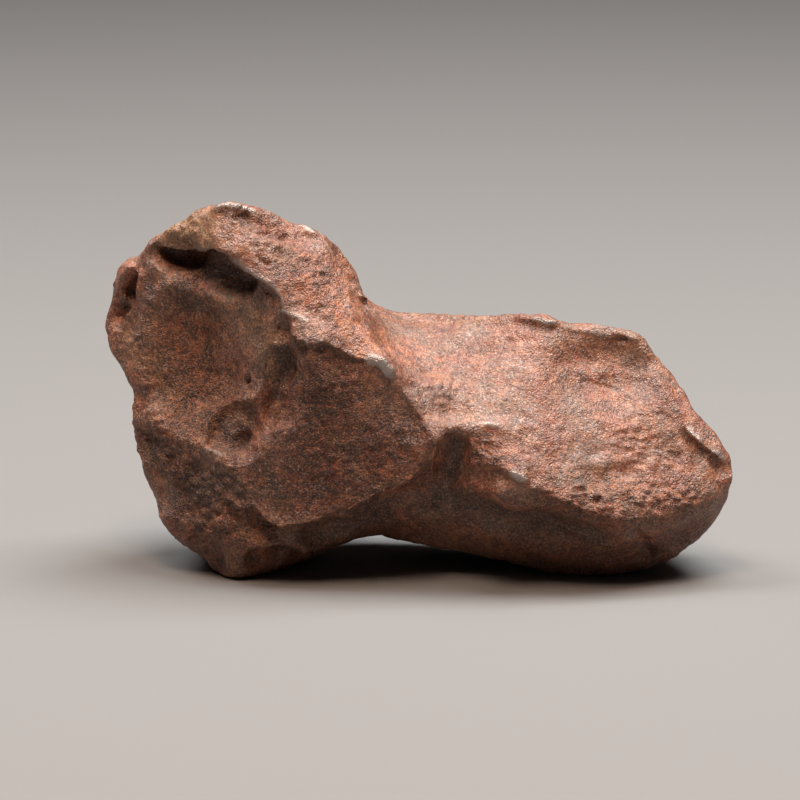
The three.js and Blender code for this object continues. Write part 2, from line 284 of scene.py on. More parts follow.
# Kinds: "ledge", see above; "crest" is sharp along the path, a groove if its height is negative; "dish" and
# "bump" are soft; "pull" is soft too and moves the skin across the picture, toward right and up, to set the
# outline. Paths are in pixels and sizes in mm. "taper" is the share of the strength left at the path's end.
broadStrokes = [
    # the outline
    {"kind": "dish", "width": 2.0, "height": -0.22, "path": [(166, 236), (184, 226), (200, 222)]},
    {"kind": "dish", "width": 1.0, "height": -0.6, "path": [(356, 280), (361, 290), (368, 299)]},
    {"kind": "dish", "width": 1.4, "height": -0.25, "path": [(258, 216), (278, 224), (300, 234)]},
    {"kind": "dish", "width": 1.0, "height": -0.16, "path": [(404, 316), (450, 318), (500, 320)]},
    {"kind": "dish", "width": 0.9, "height": -0.2, "path": [(662, 366), (680, 394)]},
    {"kind": "dish", "width": 0.9, "height": -0.18, "path": [(727, 470), (728, 492)]},
    {"kind": "dish", "width": 1.0, "height": -0.25, "path": [(140, 446), (150, 484), (160, 506)]},
    {"kind": "dish", "width": 1.1, "height": -0.14, "path": [(246, 208), (270, 218), (286, 226)]},
    {"kind": "dish", "width": 1.2, "height": -0.3, "path": [(133, 398), (137, 424), (142, 448)]},
    {"kind": "pull", "width": 0.8, "height": 0.3, "toward": (1, 0), "path": [(112, 300), (111, 322)]},
    {"kind": "pull", "width": 1.1, "height": 0.45, "toward": (0.3, 1),
     "path": [(178, 548), (192, 556), (204, 562)]},
    {"kind": "pull", "width": 1.1, "height": 0.5, "toward": (-0.2, 1), "path": [(262, 567), (276, 562)]},
    {"kind": "pull", "width": 1.2, "height": 0.5, "toward": (0, -1), "path": [(306, 548), (340, 536)]},
    {"kind": "pull", "width": 1.1, "height": 0.62, "toward": (-0.8, -0.6),
     "path": [(344, 254), (354, 274), (361, 290)]},
    {"kind": "pull", "width": 1.2, "height": 0.48, "toward": (0, -1),
     "path": [(252, 208), (278, 222), (296, 230)]},
    # the ledge above the left face, the pocket under it and the wall on its right
    {"kind": "dish", "width": 1.5, "height": -0.7, "path": [(180, 258), (198, 264), (216, 270)]},
    {"kind": "dish", "width": 1.9, "height": -0.75, "taper": 0.5,
     "path": [(234, 288), (248, 318), (257, 350), (256, 376)]},
    # the left face
    {"kind": "dish", "width": 2.4, "height": -0.25, "path": [(200, 330), (210, 356), (222, 376)]},
    {"kind": "dish", "width": 1.3, "height": -0.18, "path": [(196, 386), (216, 392)]},
    {"kind": "bump", "width": 0.8, "height": 0.26, "path": [(153, 411), (163, 414)]},
    {"kind": "dish", "width": 1.4, "height": -0.25,
     "path": [(150, 445), (168, 456), (190, 466), (215, 478)]},
    {"kind": "dish", "width": 1.35, "height": -1.1, "path": [(224, 432), (238, 440), (244, 426)]},
    # below the tall facet
    {"kind": "dish", "width": 0.9, "height": -0.5, "path": [(312, 535), (326, 533), (338, 526)]},
    {"kind": "bump", "width": 1.3, "height": 0.2, "path": [(172, 522), (190, 536)]},
    {"kind": "dish", "width": 0.9, "height": -0.3, "path": [(200, 540), (212, 548)]},
    {"kind": "dish", "width": 0.8, "height": -0.6, "path": [(197, 549), (206, 556), (213, 564)]},
    {"kind": "dish", "width": 1.2, "height": -0.55, "path": [(262, 562), (290, 557), (320, 550)]},
    {"kind": "dish", "width": 1.6, "height": -0.25, "path": [(160, 486), (190, 504)]},
    # the gully and the block beside it
    {"kind": "bump", "width": 1.0, "height": 0.25, "path": [(430, 452), (434, 440), (446, 430)]},
    {"kind": "dish", "width": 0.9, "height": -0.3, "path": [(457, 446), (458, 456), (456, 474)]},
    # the arm's upper face
    {"kind": "dish", "width": 2.4, "height": -0.28, "path": [(590, 366), (618, 384)]},
    {"kind": "dish", "width": 1.2, "height": -0.1, "path": [(622, 352), (642, 374)]},
    {"kind": "dish", "width": 0.8, "height": -0.12, "path": [(594, 478), (610, 478), (628, 472)]},
    # the saddle and the arm's shaded front
    {"kind": "dish", "width": 1.5, "height": -0.16, "path": [(366, 322), (386, 342)]},
    {"kind": "dish", "width": 1.6, "height": -0.2, "path": [(470, 506), (510, 514), (550, 526)]},
    # the back
    {"kind": "dish", "width": 2.2, "height": -0.45, "eye": "back", "path": [(622, 430), (610, 450)]},
    {"kind": "dish", "width": 2.0, "height": -0.45, "eye": "back", "path": [(520, 440), (500, 420)]},
    {"kind": "dish", "width": 1.6, "height": -0.4, "eye": "back", "path": [(590, 520), (560, 530)]},
    {"kind": "dish", "width": 2.0, "height": -0.4, "eye": "back", "path": [(350, 440), (300, 450)]},
    {"kind": "dish", "width": 1.8, "height": -0.4, "eye": "back", "path": [(210, 450), (180, 470)]},
    {"kind": "dish", "width": 1.3, "height": -0.3, "eye": "back", "path": [(420, 520), (380, 540)]},
]

edgeStrokes = [
    # the notch beside the fin
    {"kind": "pull", "width": 0.45, "height": 0.4, "toward": (0, -1), "path": [(134, 260), (138, 261)]},
    # the ledge above the left face, the pocket under it and the wall on its right
    {"kind": "ledge", "width": 1.5, "height": 0.28, "sink": 0.95, "sinkWidth": 1.1, "edge": 0.12,
     "path": [(156, 241), (161, 248), (174, 249), (188, 250), (203, 250), (217, 250)]},
    {"kind": "ledge", "width": 1.3, "height": 0.2, "sink": 0.55, "sinkWidth": 1.5,
     "path": [(216, 250), (226, 256), (233, 263), (239, 270), (246, 274), (257, 281), (269, 288),
              (278, 297), (284, 311)]},
    {"kind": "crest", "width": 0.7, "height": 0.10,
     "path": [(221, 205), (217, 216), (215, 228), (217, 241), (219, 250)]},
    # the knuckle block and its overhang, then the crest above the tall facet
    {"kind": "crest", "width": 0.5, "height": 0.12,
     "path": [(280, 310), (292, 315), (301, 318), (310, 322), (317, 327), (326, 332), (338, 337)]},
    {"kind": "ledge", "width": 1.0, "height": 0.24, "sink": 0.7, "sinkWidth": 1.1, "edge": 0.12,
     "path": [(275, 329), (278, 334), (285, 341), (296, 346), (304, 343), (310, 346)]},
    {"kind": "ledge", "width": 1.0, "height": 0.24, "sink": 0.25, "sinkWidth": 1.4, "edge": 0.12,
     "path": [(300, 344), (310, 347), (316, 346), (325, 345), (333, 350), (342, 354), (351, 359),
              (362, 361)]},
    {"kind": "ledge", "width": 0.8, "height": 0.14, "sink": 0.08, "sinkWidth": 1.0,
     "path": [(350, 358), (361, 360), (372, 362), (381, 368), (390, 380), (396, 389), (405, 399),
              (414, 411), (421, 424), (430, 437), (436, 444)]},
    {"kind": "bump", "width": 0.55, "height": 0.36, "path": [(371, 359), (381, 362), (388, 371)]},
    # the valley between the left face and the tall facet
    {"kind": "crest", "width": 1.4, "height": -1.1, "taper": 0.2,
     "path": [(276, 326), (281, 342), (285, 356), (284, 372), (278, 390), (272, 406), (268, 420)]},
    {"kind": "ledge", "width": 0.9, "height": 0.24, "sink": 0.85, "sinkWidth": 1.1, "taper": 0.4, "edge": 0.1,
     "path": [(293, 350), (296, 366), (292, 384), (286, 400), (279, 416), (270, 434)]},
    # the left face
    {"kind": "crest", "width": 1.2, "height": 0.2,
     "path": [(147, 420), (160, 426), (178, 434), (192, 442), (206, 450), (218, 456), (236, 456),
              (250, 448)]},
    {"kind": "ledge", "width": 0.8, "height": 0.14, "sink": 0.5, "sinkWidth": 1.3,
     "path": [(206, 444), (212, 421), (220, 409), (234, 403), (251, 401), (260, 395)]},
    # the fin at the left edge and the slot behind it
    {"kind": "crest", "width": 0.45, "height": 0.25, "path": [(127, 267), (120, 278), (114, 304)]},
    {"kind": "crest", "width": 0.6, "height": -1.1,
     "path": [(132, 274), (130, 290), (124, 304), (116, 317)]},
    {"kind": "crest", "width": 0.4, "height": 0.25,
     "path": [(139, 276), (139, 296), (136, 309), (126, 315)]},
    {"kind": "crest", "width": 0.35, "height": -0.35, "path": [(151, 282), (150, 294)]},
    {"kind": "crest", "width": 0.35, "height": 0.15, "path": [(148, 300), (155, 301), (162, 305)]},
    # below the tall facet
    {"kind": "ledge", "width": 1.0, "height": 0.22, "sink": 1.15, "sinkWidth": 1.8, "edge": 0.1,
     "path": [(252, 505), (262, 520), (277, 528), (299, 527), (320, 521), (340, 513), (352, 509),
              (378, 496), (398, 487), (412, 480), (428, 472)]},
    {"kind": "crest", "width": 0.4, "height": -0.4, "path": [(224, 504), (229, 510), (233, 518)]},
    {"kind": "bump", "width": 0.4, "height": 0.3, "path": [(217, 523), (227, 524)]},
    # the gully and the block beside it
    {"kind": "crest", "width": 0.7, "height": 0.2, "path": [(438, 438), (434, 456), (430, 474)]},
    {"kind": "crest", "width": 0.8, "height": 0.16,
     "path": [(458, 425), (468, 424), (484, 423), (499, 426), (508, 431)]},
    {"kind": "ledge", "width": 0.7, "height": 0.16, "sink": 0.25, "sinkWidth": 1.4,
     "path": [(467, 470), (479, 467), (494, 467), (508, 472), (517, 476)]},
    {"kind": "bump", "width": 0.55, "height": 0.28, "path": [(512, 473), (522, 478)]},
    {"kind": "ledge", "width": 0.7, "height": 0.12, "sink": 0.25, "sinkWidth": 1.3,
     "path": [(518, 479), (528, 490), (545, 495), (556, 502), (573, 512), (591, 515), (606, 521),
              (622, 523), (633, 514)]},
    # the arm's upper face
    {"kind": "crest", "width": 0.6, "height": 0.14,
     "path": [(556, 326), (584, 331), (606, 336), (620, 334), (634, 340)]},
    {"kind": "crest", "width": 0.6, "height": 0.16,
     "path": [(634, 340), (643, 356), (655, 375), (669, 396), (685, 418)]},
    {"kind": "bump", "width": 0.3, "height": 0.2, "path": [(536, 319), (545, 321), (553, 324)]},
    {"kind": "crest", "width": 0.3, "height": -0.3,
     "path": [(512, 321), (528, 324), (542, 329), (554, 329)]},
    {"kind": "ledge", "width": 0.7, "height": 0.5, "sink": 0.3, "sinkWidth": 0.45, "edge": 0.1,
     "path": [(682, 424), (687, 433), (692, 439), (699, 446), (706, 451), (717, 460), (728, 466)]},
    {"kind": "crest", "width": 0.7, "height": 0.12,
     "path": [(600, 468), (612, 463), (624, 458), (640, 450)]},
    {"kind": "crest", "width": 0.6, "height": 0.14,
     "path": [(655, 460), (653, 474), (649, 488), (640, 504)]},
    # the shoulder's rim, the knob at its foot and the crack under the arm
    {"kind": "crest", "width": 0.45, "height": 0.14,
     "path": [(219, 207), (229, 203), (238, 205), (252, 211), (266, 218)]},
    {"kind": "ledge", "width": 0.5, "height": 0.16, "sink": 0.2, "sinkWidth": 0.5, "edge": 0.1,
     "path": [(298, 229), (306, 232), (315, 235), (326, 240)]},
    {"kind": "bump", "width": 0.28, "height": 0.3, "path": [(361, 297), (365, 300)]},
    {"kind": "crest", "width": 0.45, "height": -0.4, "path": [(636, 534), (645, 543), (652, 556)]},
    {"kind": "bump", "width": 0.28, "height": 0.2, "path": [(655, 556), (657, 558)]},
    # the back
    {"kind": "ledge", "width": 1.0, "height": 0.2, "sink": 0.5, "sinkWidth": 1.6, "eye": "back",
     "path": [(660, 372), (636, 350), (604, 356), (576, 344), (540, 362), (505, 356)]},
    {"kind": "crest", "width": 0.9, "height": 0.22, "eye": "back",
     "path": [(566, 262), (574, 300), (566, 346), (572, 392), (560, 440), (566, 486)]},
    {"kind": "crest", "width": 0.9, "height": 0.2, "eye": "back",
     "path": [(440, 400), (380, 392), (320, 402), (262, 396), (210, 404), (150, 420), (110, 452)]},
    {"kind": "ledge", "width": 0.8, "height": 0.14, "sink": 0.4, "sinkWidth": 1.3, "eye": "back",
     "path": [(430, 486), (396, 472), (352, 492), (306, 484), (262, 506), (220, 500), (176, 516)]},
    {"kind": "crest", "width": 0.7, "height": -0.35, "eye": "back",
     "path": [(470, 350), (462, 390), (470, 430), (456, 470)]},
    {"kind": "crest", "width": 0.6, "height": 0.16, "eye": "back",
     "path": [(262, 396), (250, 440), (262, 504)]},
    {"kind": "bump", "width": 0.6, "height": 0.3, "eye": "back", "path": [(640, 500), (630, 508)]},
]

smallStrokes = [
    # the hole in the left face
    {"kind": "bump", "width": 0.2, "height": -0.5, "path": [(244, 381), (248, 379)]},
    # the ring, cracks, flakes and pits on the arm
    {"kind": "crest", "width": 0.14, "height": 0.08,
     "path": [(492, 391), (483, 391), (473, 390), (466, 392), (463, 397), (464, 403), (469, 405)]},
    {"kind": "bump", "width": 0.14, "height": -0.12, "path": [(467, 401), (468, 400)]},
    {"kind": "crest", "width": 0.2, "height": -0.12,
     "path": [(584, 381), (595, 383), (608, 387), (620, 390)]},
    {"kind": "crest", "width": 0.18, "height": -0.1,
     "path": [(632, 416), (648, 415), (664, 414), (675, 421)]},
    {"kind": "ledge", "width": 0.2, "height": 0.06, "sink": 0.1, "sinkWidth": 0.2, "edge": 0.08,
     "path": [(557, 449), (565, 449), (572, 449), (578, 451)]},
    {"kind": "crest", "width": 0.15, "height": 0.07, "path": [(565, 451), (562, 458), (560, 465)]},
    {"kind": "bump", "width": 0.2, "height": -0.13, "path": [(576, 489), (583, 488)]},
    {"kind": "bump", "width": 0.2, "height": -0.12, "path": [(596, 498), (604, 499)]},
    {"kind": "crest", "width": 0.2, "height": 0.1,
     "path": [(568, 496), (579, 494), (591, 492), (600, 495)]},
    {"kind": "bump", "width": 0.18, "height": -0.14, "path": [(525, 452), (530, 454)]},
    # gashes in the shoulder
    {"kind": "crest", "width": 0.22, "height": -0.2, "path": [(236, 217), (244, 215), (249, 217)]},
    {"kind": "crest", "width": 0.26, "height": -0.26,
     "path": [(253, 230), (260, 233), (268, 237), (273, 233), (279, 237), (286, 238)]},
    {"kind": "crest", "width": 0.24, "height": -0.22, "path": [(260, 259), (264, 261), (268, 263)]},
    {"kind": "crest", "width": 0.2, "height": -0.16, "path": [(292, 254), (298, 257)]},
    {"kind": "crest", "width": 0.2, "height": -0.16, "path": [(255, 247), (258, 246)]},
    {"kind": "crest", "width": 0.2, "height": -0.14, "path": [(317, 277), (325, 274)]},
    {"kind": "crest", "width": 0.2, "height": -0.14, "path": [(320, 306), (327, 308)]},
    # gashes in the block and pits here and there
    {"kind": "crest", "width": 0.22, "height": -0.16, "path": [(472, 446), (476, 443), (481, 443)]},
    {"kind": "crest", "width": 0.22, "height": -0.18, "path": [(485, 444), (490, 445), (494, 448)]},
    {"kind": "crest", "width": 0.2, "height": -0.14, "path": [(487, 451), (492, 454)]},
    {"kind": "bump", "width": 0.22, "height": -0.16, "path": [(617, 340), (624, 340)]},
    {"kind": "bump", "width": 0.2, "height": -0.14, "path": [(671, 453), (680, 455)]},
    {"kind": "bump", "width": 0.16, "height": -0.16, "path": [(507, 338), (511, 340)]},
    {"kind": "bump", "width": 0.3, "height": -0.12, "path": [(206, 372), (214, 375)]},
]


sculpt(specimen, broadStrokes)
evenFaces(specimen, body["laterRounds"])
sculpt(specimen, edgeStrokes)
evenFaces(specimen, body["laterRounds"])
sculpt(specimen, smallStrokes)
print("stage: strokes,", len(specimen.data.polygons), "faces")


# The skin's own roughness

skin = {
    "lumpLength": 1.4, "lumpHeight": 0.11,    # mm, soft lumps
    "foldLength": 1.0, "foldHeight": 0.07,    # mm, low sharp ridges between shallow hollows
    "chipLength": 0.42, "chipHeight": 0.18,   # mm, chips with sharp edges, longer than high
    "chipStretch": (1.7, 1.7, 1.0),
    "chipSteepness": 2.2,                     # of the chips' edges
    "chipLevel": 0.7,                         # share of a chip that is sunk
    "gritLength": 0.34, "gritHeight": 0.05,   # mm, sandy rust
    "gritAnywhere": 0.5, "gritOnCalm": 0.4,   # shares of it off the rough skin and on the calm
    "roughLength": 4.0,                       # mm, size of the rough patches that no stroke gives
    "swell": 0.07,                            # mm, what the relief would add to the piece's size
    "flatHeight": 0.3,                        # mm above the floor where the relief is whole
    "shift": 11.0,                            # picks the noise
}
calmPatches = [
    {"width": 3.0, "path": [(400, 330), (430, 370), (480, 380)], "strength": 0.9},
    {"width": 3.6, "path": [(520, 380), (580, 400), (640, 430)], "strength": 0.8},
]
roughPatches = [
    {"width": 2.0, "path": [(250, 222), (290, 250), (320, 280)], "strength": 0.6},
    {"width": 2.4, "path": [(150, 430), (180, 470), (230, 490), (200, 520)]},
    {"width": 1.6, "path": [(120, 330), (140, 360), (160, 390)], "strength": 0.7},
    {"width": 2.2, "path": [(320, 420), (330, 470), (380, 460)], "strength": 0.6},
    {"width": 1.5, "path": [(556, 500), (600, 505), (650, 500), (690, 500)]},
    {"width": 0.9, "path": [(476, 448), (494, 456)], "strength": 0.9},
]


def chipsOf(places, length, shift):
    # 0 along the edges of chips, 1 in their middles
    cells = noise.voronoi
    gaps = np.array([cells(p)[0][:2] for p in (places / length + shift).tolist()])
    return np.clip((gaps[:, 1] - gaps[:, 0]) * skin["chipSteepness"], 0, 1)


def paint(piece, strokes):
    # 0 to 1 near the strokes
    places = placesOf(piece)
    tree = surfaceTree(piece)
    value = np.zeros(len(places))
    for stroke in strokes:
        samples = castPath(tree, stroke)[1]
        rows, which, far = nearest(places, samples, stroke["width"])
        value[rows] = np.maximum(value[rows], stroke.get("strength", 1.0) * fade(far / stroke["width"]))
    return value


def roughen(piece):
    places = placesOf(piece)
    shift = skin["shift"]
    own = np.clip(noiseOf(places, skin["roughLength"], shift), 0, 1)
    rough = np.maximum(paint(piece, roughPatches), own)
    calm = 1 - paint(piece, calmPatches)
    lumps = skin["lumpHeight"] * noiseOf(places, skin["lumpLength"], shift)
    folds = skin["foldHeight"] * (0.5 - 2 * np.abs(noiseOf(places, skin["foldLength"], -shift)))
    chips = chipsOf(places / skin["chipStretch"], skin["chipLength"], shift) - skin["chipLevel"]
    grit = noiseOf(places, skin["gritLength"], shift)
    grit = skin["gritHeight"] * (grit + 0.5 * noiseOf(places, skin["gritLength"] / 2, shift))
    grit *= skin["gritAnywhere"] + (1 - skin["gritAnywhere"]) * rough
    grit *= skin["gritOnCalm"] + (1 - skin["gritOnCalm"]) * calm
    lift = (lumps + folds) * calm - skin["swell"]
    lift += skin["chipHeight"] * chips * rough
    lift += grit
    standing = np.clip(places[:, 2] / skin["flatHeight"], 0, 1)  # the worn flats stay flat
    places += normalsOf(piece) * (lift * standing)[:, None]
    places[:, 2] = np.maximum(places[:, 2], 0)
    putPlaces(piece, places)


roughen(specimen)
print("stage: rough skin")


# What lies where on the skin, and where shade is painted on it

def neighbourMean(piece, values, rounds):
    # values averaged over a vertex and its neighbours, over and over
    edges = np.empty(len(piece.data.edges) * 2, np.int64)
    piece.data.edges.foreach_get("vertices", edges)
    a, b = edges.reshape(-1, 2).T
    count = len(values)
    total = np.bincount(a, minlength=count) + np.bincount(b, minlength=count) + 1.0
    for _ in range(rounds):
        sums = [c + np.bincount(a, c[b], count) + np.bincount(b, c[a], count) for c in values.T]
        values = np.stack(sums, 1) / total[:, None]
    return values


def bulgeOf(piece, rounds):
    # how far the skin stands out from its own mean nearby, in mm
    places = placesOf(piece)
    return ((places - neighbourMean(piece, places, rounds)) * normalsOf(piece)).sum(1)


silverPatches = [
    {"width": 0.5, "path": [(219, 206), (229, 203), (238, 205), (252, 211)]},
    {"width": 0.45, "path": [(301, 228), (311, 229), (320, 234)]},
    {"width": 0.8, "path": [(238, 264), (247, 272), (260, 279), (274, 290), (282, 302)], "strength": 0.8},
    {"width": 0.4, "path": [(160, 247), (174, 248), (190, 249), (214, 248)], "strength": 0.6},
    {"width": 0.5, "path": [(280, 310), (292, 315), (305, 320)], "strength": 0.8},
    {"width": 0.4, "path": [(280, 334), (296, 344), (306, 342)], "strength": 0.7},
    {"width": 0.8, "path": [(371, 359), (381, 363), (389, 374)]},
    {"width": 0.6, "path": [(152, 412), (160, 414)], "strength": 0.5},
    {"width": 0.5, "path": [(206, 450), (222, 456)], "strength": 0.5},
    {"width": 0.4, "path": [(464, 424), (484, 423), (499, 426)], "strength": 0.8},
    {"width": 0.5, "path": [(512, 474), (522, 478)]},
    {"width": 0.35, "path": [(536, 319), (553, 324)]},
    {"width": 0.5, "path": [(584, 331), (606, 336), (632, 339)], "strength": 0.6},
    {"width": 0.5, "path": [(690, 430), (706, 443), (724, 458)], "strength": 0.8},
    {"width": 0.5, "path": [(398, 392), (410, 404), (424, 428)], "strength": 0.4},
    {"width": 0.8, "eye": "back", "path": [(566, 262), (574, 300), (566, 346)], "strength": 0.5},
    {"width": 0.6, "eye": "back", "path": [(636, 350), (604, 356)], "strength": 0.5},
    {"width": 0.7, "eye": "back", "path": [(360, 394), (320, 402)], "strength": 0.5},
    {"width": 0.7, "eye": "back", "path": [(262, 396), (210, 404)], "strength": 0.4},
]
orangePatches = [
    {"width": 1.7, "path": [(345, 312), (362, 334), (392, 348), (424, 362)]},
    {"width": 1.0, "path": [(346, 270), (350, 288), (338, 300)]},
    {"width": 1.2, "path": [(296, 286), (322, 300)], "strength": 0.7},
    {"width": 0.7, "path": [(436, 446), (434, 468)]},
    {"width": 0.3, "path": [(420, 428), (424, 431)]},
    {"width": 0.6, "path": [(652, 352), (672, 384), (690, 412)]},
    {"width": 1.6, "path": [(582, 352), (606, 360), (600, 384)], "strength": 0.6},
    {"width": 0.35, "path": [(131, 274), (129, 286)]},
    {"width": 0.5, "path": [(163, 328), (174, 339), (177, 348)], "strength": 0.9},
    {"width": 0.5, "path": [(560, 456), (568, 468)], "strength": 0.7},
    {"width": 0.5, "path": [(484, 466), (516, 468)], "strength": 0.7},
    {"width": 0.8, "path": [(400, 516), (412, 526)], "strength": 0.7},
    {"width": 1.6, "eye": "back", "path": [(500, 420), (470, 400)], "strength": 0.9},
    {"width": 1.8, "eye": "back", "path": [(230, 430), (200, 440)], "strength": 0.8},
    {"width": 2.0, "eye": "back", "path": [(420, 520), (380, 540)], "strength": 0.6},
    {"width": 1.2, "eye": "back", "path": [(622, 430), (610, 450)], "strength": 0.6},
    {"width": 0.7, "path": [(672, 430), (690, 452), (712, 470)], "strength": 0.5},
]
redPatches = [
    {"width": 2.8, "path": [(310, 376), (330, 410), (300, 440), (320, 480)]},
    {"width": 2.0, "path": [(340, 470), (380, 450), (400, 430)], "strength": 0.8},
    {"width": 1.6, "path": [(370, 520), (420, 530)], "strength": 0.9},
    {"width": 1.6, "path": [(590, 555), (650, 550), (690, 530)], "strength": 0.9},
    {"width": 2.4, "eye": "back", "path": [(590, 520), (540, 480)], "strength": 0.8},
]
# Painted shade in the pocket, valley, slot, dent, gully and under the arm and tall facet; dark crust
# elsewhere.
crustAndShadePatches = [
    {"width": 1.0, "path": [(170, 256), (196, 264), (222, 272)]},
    {"width": 1.0, "path": [(236, 290), (252, 320), (262, 352), (262, 380)], "strength": 0.8},
    {"width": 0.9, "path": [(280, 345), (284, 365), (275, 395)]},
    {"width": 1.2, "path": [(225, 266), (245, 283), (262, 298)]},
    {"width": 1.3, "path": [(228, 430), (240, 440)]},
    {"width": 0.6, "path": [(300, 400), (330, 396)], "strength": 0.6},
    {"width": 0.7, "path": [(455, 442), (456, 460), (452, 480)]},
    {"width": 2.0, "path": [(450, 500), (490, 506), (530, 516), (590, 530)]},
    {"width": 1.0, "path": [(632, 362), (646, 378)], "strength": 0.8},
    {"width": 0.5, "path": [(150, 284), (150, 294)]},
    {"width": 0.5, "path": [(132, 292), (126, 306)]},
    {"width": 0.9, "path": [(182, 300), (196, 306)], "strength": 0.6},
    {"width": 2.0, "path": [(180, 500), (220, 480), (240, 500)], "strength": 0.8},
    {"width": 1.5, "path": [(284, 546), (330, 530), (372, 510)], "strength": 0.8},
    {"width": 1.3, "path": [(262, 468), (276, 496)], "strength": 0.7},
    {"width": 0.9, "path": [(322, 392), (312, 404)], "strength": 0.6},
    {"width": 2.4, "eye": "back", "path": [(350, 450), (290, 460)]},
    {"width": 1.8, "eye": "back", "path": [(620, 390), (560, 380)]},
    {"width": 2.0, "eye": "back", "path": [(150, 470), (180, 520)], "strength": 0.7},
    {"width": 1.6, "eye": "back", "path": [(470, 350), (462, 430), (456, 470)], "strength": 0.8},
]
# Coarse faces get more grain relief and more tan and umber flecks, painted light and shade of the grains.
coarsePatches = [
    {"width": 4.0, "path": [(190, 300), (200, 360), (200, 420)]},
    {"width": 3.0, "path": [(150, 440), (200, 500), (240, 540)]},
    {"width": 3.5, "path": [(330, 390), (350, 440), (300, 490), (390, 470)]},
    {"width": 1.6, "path": [(260, 230), (300, 260), (320, 290)], "strength": 0.4},
    {"width": 1.2, "path": [(480, 446), (500, 460)], "strength": 0.8},
    {"width": 2.0, "path": [(560, 500), (620, 500), (680, 500)], "strength": 0.7},
    {"width": 4.5, "eye": "back", "path": [(600, 400), (560, 500)], "strength": 0.9},
    {"width": 3.0, "eye": "back", "path": [(360, 480), (220, 490)], "strength": 0.7},
]
olivePatches = [
    {"width": 1.7, "path": [(172, 234), (196, 220), (208, 236)]},
    {"width": 1.6, "path": [(240, 296), (256, 326), (266, 350)], "strength": 0.8},
    {"width": 0.6, "path": [(268, 352), (272, 376)]},
    {"width": 1.6, "path": [(132, 336), (150, 362), (166, 390)], "strength": 0.5},
    {"width": 1.2, "path": [(600, 350), (628, 362)], "strength": 0.5},
    {"width": 1.6, "eye": "back", "path": [(640, 300), (620, 330)], "strength": 0.8},
]


traces = {
    "rounds": 24,             # of taking the mean, over about 0.5 mm around
    "crests": (0.90, 0.99),   # shares of the skin between which it comes to count as a crest
    "hollows": (0.86, 0.99),  # the same for a hollow
    "raised": (0.45, 0.85),   # and for what stands high enough to be rubbed
    "crestWear": 0.8,
    "handledLength": 3.0,     # mm, stretches of crest that hands and sand have rubbed more and less
    "handledMiddle": 0.5, "handledSpread": 1.2, "handledLeast": 0.15,
    "handledShift": 3.0,
    "upright": 0.4,           # share of the wear on an upright face, it grows as a face turns up
    "blotchLength": 2.6,      # mm, rust patches of the far side
    "blotchSteepness": 4.0, "blotchLevel": 0.8, "blotchMost": 0.9,
    "away": 0.2,              # how much a face seen edge-on counts as the far side
    "turn": 1.5,              # how fast both grow with a face's direction
}


def between(values, shares):
    # 0 to 1 from one quantile of the values to another
    low, high = np.quantile(values, shares)
    return np.clip((values - low) / (high - low), 0, 1)


def blotches(piece, shift):
    away = np.clip(traces["away"] + traces["turn"] * normalsOf(piece)[:, 1], 0, 1)
    cloud = traces["blotchSteepness"] * noiseOf(placesOf(piece), traces["blotchLength"], shift)
    return away * np.clip(cloud - traces["blotchLevel"], 0, traces["blotchMost"])


def layColours(piece):
    # one value of 0 to 1 per vertex for each thing that the material draws
    bulge = bulgeOf(piece, traces["rounds"])
    rubbed = noiseOf(placesOf(piece), traces["handledLength"], traces["handledShift"])
    handled = np.clip(traces["handledMiddle"] + traces["handledSpread"] * rubbed, traces["handledLeast"], 1)
    handled *= np.clip(traces["upright"] + traces["turn"] * normalsOf(piece)[:, 2], 0, 1)
    crests = traces["crestWear"] * between(bulge, traces["crests"]) * handled
    silver = paint(piece, silverPatches) * between(bulge, traces["raised"])
    values = {
        "wear": np.maximum(crests, silver),
        "hollow": between(-bulge, traces["hollows"]),
        "orange": np.maximum(paint(piece, orangePatches), blotches(piece, 21.0)),
        "red": np.maximum(paint(piece, redPatches), blotches(piece, 31.0)),
        # painted shade and dark crust, with dark blotches on the far side
        "dark": np.maximum(paint(piece, crustAndShadePatches), blotches(piece, 41.0)),
        "olive": paint(piece, olivePatches),
        "coarse": paint(piece, coarsePatches),
    }
    for name, value in values.items():
        attribute = piece.data.attributes.new(name, "FLOAT", "POINT")
        attribute.data.foreach_set("value", value)


layColours(specimen)
print("stage: colours laid out")


# Finish

def linear(hexColour):
    channels = [int(hexColour[i:i + 2], 16) / 255 for i in (1, 3, 5)]
    return tuple(c / 12.92 if c <= 0.04045 else ((c + 0.055) / 1.055) ** 2.4 for c in channels) + (1.0,)


def addNode(tree, kind, settings, inputs):
    # an input is a value or another node's socket
    node = tree.nodes.new("ShaderNode" + kind)
    for name, value in settings.items():
        setattr(node, name, value)
    for name, value in inputs.items():
        if isinstance(value, bpy.types.NodeSocket):
            tree.links.new(value, node.inputs[name])
        else:
            node.inputs[name].default_value = value
    return node.outputs


rust = {
    "brown": "#803E24",     # goethite and haematite skin
    "dull": "#6C4B39",      # the same with more goethite
    "deepRed": "#541E12",   # haematite on the tall facet
    "orange": "#B4602E",    # fresh rust where water sat
    "tan": "#BC8058",       # dry rust, and painted light on the grains' tops, most on the coarse faces
    "umber": "#2E150F",     # shade between the grains
    "bloom": "#B0978C",     # grey-pink haze of rubbed grains, and painted sheen on the faces that are not coarse
    "spark": "#DDBFAC",     # painted glint, a bright face on some grains
    "black": "#241C1A",     # magnetite crust, and painted shade in hollows and recesses
    "blueGrey": "#3B3B40",  # thin magnetite film
    "olive": "#9A7850",     # brown-green crust
    "metal": "#A89D96",     # bare nickel-iron on the ridges
    "sheen": "#FFF2EA",     # iron oxides mirror red light best
    "lustre": 1.75,         # their IOR, they bend light far more than stone
    "grainSize": 0.085,     # mm, drawn a little coarser than the real dust
    "crumbSize": 0.20,      # mm
    "crumbSoftness": 0.5,
    "noiseRoughness": 0.65,
    "grainHeight": 0.042,   # mm
}

